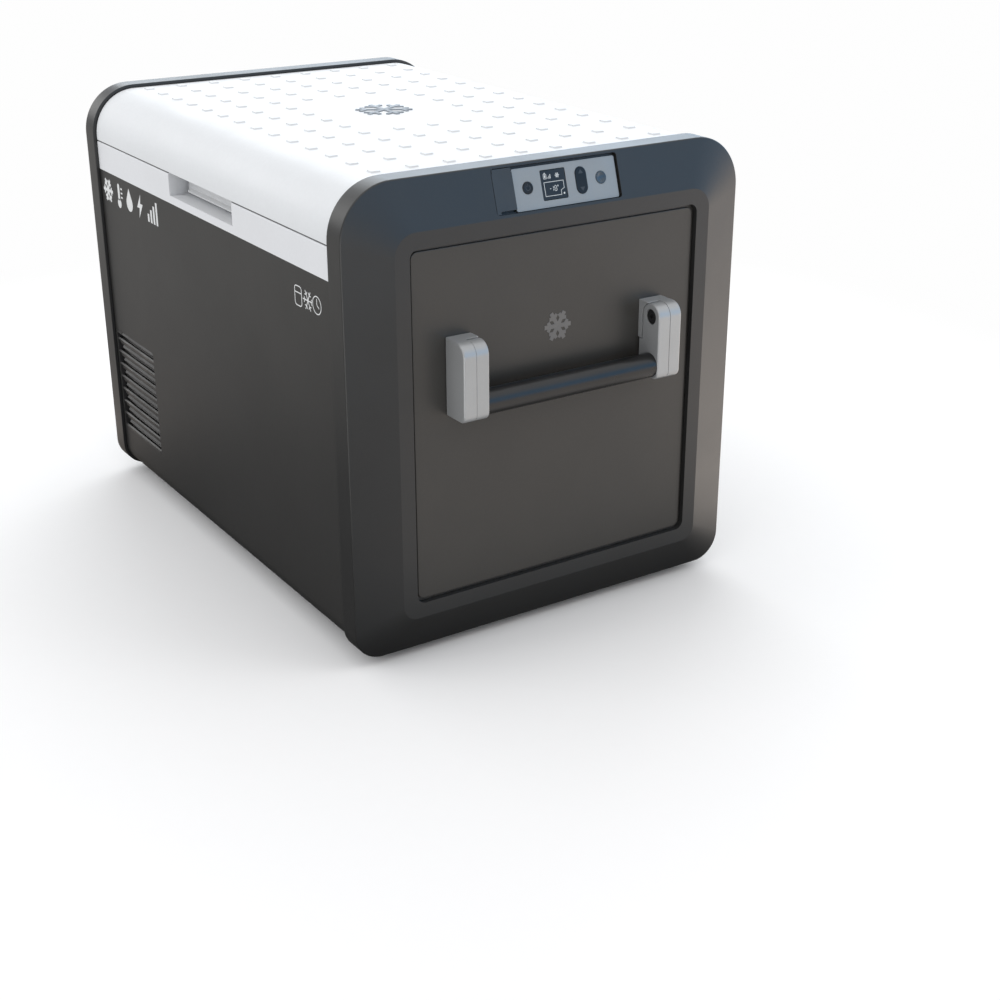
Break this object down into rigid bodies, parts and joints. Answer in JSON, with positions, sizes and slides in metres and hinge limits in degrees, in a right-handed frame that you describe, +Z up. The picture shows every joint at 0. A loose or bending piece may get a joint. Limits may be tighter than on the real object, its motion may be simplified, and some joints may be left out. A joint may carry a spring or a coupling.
{
  "type": "compressor cooler fridge",
  "caption": "Portable compressor cooler: hinged lid with pull latch, swinging carry handles, sloping control panel, insulated tub and side-vented compressor bay.",
  "frame": {"origin": "centre of the footprint at floor level, under the rubber feet", "axes": "+X towards the control panel end, -X compressor end, -Y latch side, +Y hinge side, +Z up"},
  "size_m": [0.72, 0.455, 0.48],
  "materials": {
    "frame_plastic": "satin",
    "panel_plastic": "fine matt texture",
    "skin_steel": "powder coat, fine texture",
    "grille_plastic": "matt",
    "collar_plastic": "fine matt texture",
    "pan_steel": "powder coat",
    "foot_rubber": "matt",
    "lid_plastic": "fine matt texture",
    "liner_plastic": "satin",
    "foam": "open matt foam",
    "gasket_rubber": "matt",
    "badge_metal": "satin",
    "hinge_plastic": "satin",
    "steel": "satin",
    "latch_plastic": "satin",
    "handle_grey": "satin",
    "bar_black": "gloss",
    "bolt_black": "satin",
    "faceplate_metal": "fine satin",
    "display_glass": "gloss",
    "board_green": "solder mask",
    "button_dark": "satin",
    "button_grey": "satin",
    "port_black": "matt",
    "aluminium_tube": "satin",
    "tube_white": "satin",
    "wire_coated": "plastic coated",
    "lamp_diffuser": "frosted",
    "compressor_black": "gloss",
    "condenser_metal": "satin",
    "fan_black": "satin",
    "module_aluminium": "anodised",
    "copper": "satin copper"
  },
  "bodies": {
    "cabinet": {"base_pan": "pan_steel", "case_screws": "steel", "compressor": "compressor_black", "compressor_grommets": "foot_rubber", "condenser": "condenser_metal", "control_board": "board_green", "control_faceplate": "faceplate_metal", "control_housing": "panel_plastic", "controller_module": "module_aluminium", "display_lens": "display_glass", "drain_tube": "tube_white", "evaporator_coil": "aluminium_tube", "fan_frame": "fan_black", "front_end_frame": "frame_plastic", "front_end_panel": "panel_plastic", "front_handle_bracket_left": "handle_grey", "front_handle_bracket_right": "handle_grey", "handle_pivot_bolts": "bolt_black", "handle_springs": "steel", "hinge_body_leaves": "hinge_plastic", "hinge_pins": "steel", "inner_liner": "liner_plastic", "insulation_foam": "foam", "interior_lamp": "lamp_diffuser", "power_inlet": "port_black", "rear_end_frame": "frame_plastic", "rear_end_panel": "panel_plastic", "rear_handle_bracket_left": "handle_grey", "rear_handle_bracket_right": "handle_grey", "refrigerant_pipes": "copper", "rubber_feet": "foot_rubber", "side_panel_left": "skin_steel", "side_panel_right": "skin_steel", "top_collar": "collar_plastic", "usb_port": "port_black", "vent_grille_left": "grille_plastic", "vent_grille_right": "grille_plastic", "wire_basket": "wire_coated"},
    "lid": {"lid_shell": "lid_plastic", "lid_liner": "liner_plastic", "lid_foam": "foam", "lid_gasket": "gasket_rubber", "lid_badge": "badge_metal", "hinge_lid_leaves": "hinge_plastic", "latch_pin": "steel", "latch_spring": "steel"},
    "latch": {"latch_lever": "latch_plastic"},
    "front_handle": {"front_handle_arm_left": "handle_grey", "front_handle_arm_right": "handle_grey", "front_handle_bar": "bar_black"},
    "rear_handle": {"rear_handle_arm_left": "handle_grey", "rear_handle_arm_right": "handle_grey", "rear_handle_bar": "bar_black"},
    "power_button": {"power_button": "button_dark"},
    "set_button": {"set_button": "button_grey"},
    "rocker_button": {"rocker_button": "button_dark"},
    "usb_cover": {"usb_cover": "panel_plastic"},
    "power_inlet_cover": {"power_inlet_cover": "panel_plastic"},
    "fan_rotor": {"fan_rotor": "fan_black"},
    "drain_plug": {"drain_plug": "foot_rubber"}
  },
  "joints": [
    {"name": "lid_hinge", "type": "hinge", "parent": "cabinet", "child": "lid", "pos_m": [0, 0.223, 0.421], "axis": [-1, 0, 0], "range_deg": [0, 90]},
    {"name": "latch_pull", "type": "hinge", "parent": "lid", "child": "latch", "pos_m": [0, -0.201, 0.4285], "axis": [-1, 0, 0], "range_deg": [0, 20], "stiffness_Nm_per_rad": 0.05},
    {"name": "front_handle_swing", "type": "hinge", "parent": "cabinet", "child": "front_handle", "pos_m": [0.3465, 0, 0.316], "axis": [0, -1, 0], "range_deg": [0, 90], "stiffness_Nm_per_rad": 0.05},
    {"name": "rear_handle_swing", "type": "hinge", "parent": "cabinet", "child": "rear_handle", "pos_m": [-0.3465, 0, 0.316], "axis": [0, 1, 0], "range_deg": [0, 90], "stiffness_Nm_per_rad": 0.05},
    {"name": "power_button_press", "type": "slide", "parent": "cabinet", "child": "power_button", "axis": [-0.9547, 0, -0.2977], "range_m": [0, 0.0008], "stiffness_N_per_m": 400},
    {"name": "set_button_press", "type": "slide", "parent": "cabinet", "child": "set_button", "axis": [-0.9547, 0, -0.2977], "range_m": [0, 0.0008], "stiffness_N_per_m": 400},
    {"name": "rocker_tilt", "type": "hinge", "parent": "cabinet", "child": "rocker_button", "pos_m": [0.31898, 0.029, 0.45526], "axis": [0, 1, 0], "range_deg": [-3.5, 3.5], "stiffness_Nm_per_rad": 0.02},
    {"name": "usb_cover_hinge", "type": "hinge", "parent": "cabinet", "child": "usb_cover", "pos_m": [0.31649, 0, 0.47397], "axis": [0, -1, 0], "range_deg": [0, 100]},
    {"name": "power_inlet_cover_hinge", "type": "hinge", "parent": "cabinet", "child": "power_inlet_cover", "pos_m": [-0.3257, 0.1, 0.1156], "axis": [0, 1, 0], "range_deg": [0, 100]},
    {"name": "fan_spin", "type": "hinge", "parent": "cabinet", "child": "fan_rotor", "pos_m": [-0.231, -0.1615, 0.12], "axis": [0, 1, 0], "continuous": true},
    {"name": "drain_plug_pull", "type": "slide", "parent": "cabinet", "child": "drain_plug", "axis": [0, 0, -1], "range_m": [0, 0.012]}
  ]
}
